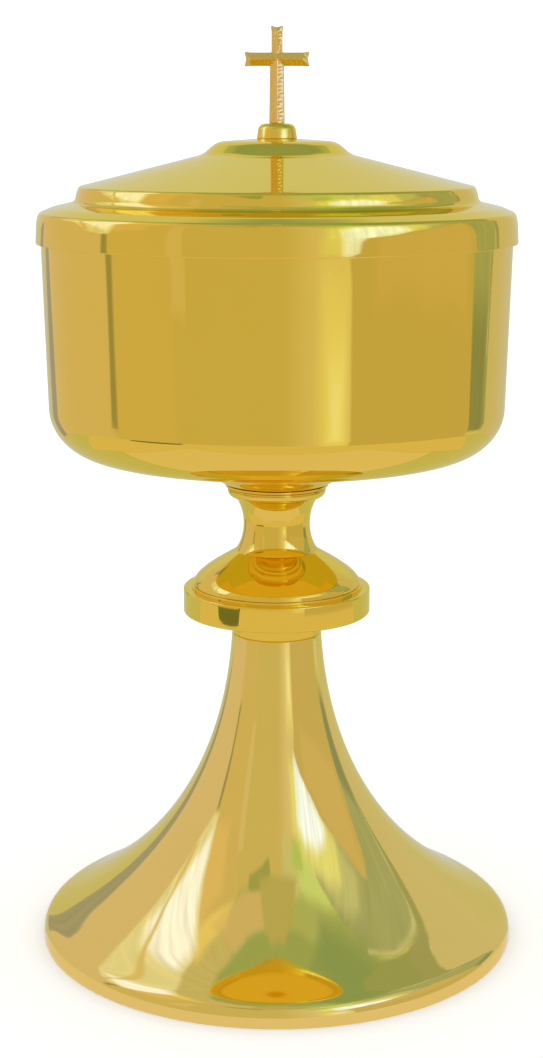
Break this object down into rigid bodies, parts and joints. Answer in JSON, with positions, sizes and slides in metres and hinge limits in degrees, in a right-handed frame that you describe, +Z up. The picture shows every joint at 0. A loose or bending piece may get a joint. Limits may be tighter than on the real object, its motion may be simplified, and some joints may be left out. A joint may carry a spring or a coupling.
{
  "type": "ciborium",
  "caption": "Lidded ciborium: trumpet foot, flat-rimmed domed knop, waisted stem, cylindrical bowl and a lift-off stepped lid topped by a small ridged cross.",
  "frame": {"origin": "centre of the foot's base, on the surface it stands on", "axes": "+Z up along the axis of the vessel, +X along the crossbar of the cross, -Y towards the viewer of the picture"},
  "size_m": [0.1272, 0.1272, 0.24],
  "materials": {
    "gold_plate": "mirror-polished yellow gold plate on spun and turned brass",
    "cast_gold": "bright gold plate on a hammered casting",
    "plain_brass": "plain machined brass, slightly dull",
    "zinc_steel": "zinc-plated steel, dull grey"
  },
  "bodies": {
    "stand": {"foot_shell": "gold_plate", "lower_collar": "gold_plate", "knop_ring": "gold_plate", "knop_dome": "gold_plate", "neck_spool": "gold_plate", "ovolo_ring": "gold_plate", "bowl_collar": "gold_plate", "bowl": "gold_plate", "tie_rod": "plain_brass", "clamp_washer": "zinc_steel", "spring_washer": "zinc_steel", "clamp_nut": "zinc_steel"},
    "lid": {"lid_shell": "gold_plate", "finial_boss": "gold_plate", "finial_cross": "cast_gold", "finial_stud": "plain_brass", "lid_washer": "plain_brass", "cap_nut": "plain_brass"}
  },
  "joints": [
    {"name": "lid_lift", "type": "slide", "parent": "stand", "child": "lid", "axis": [0, 0, 1], "range_m": [0, 0.08]}
  ]
}
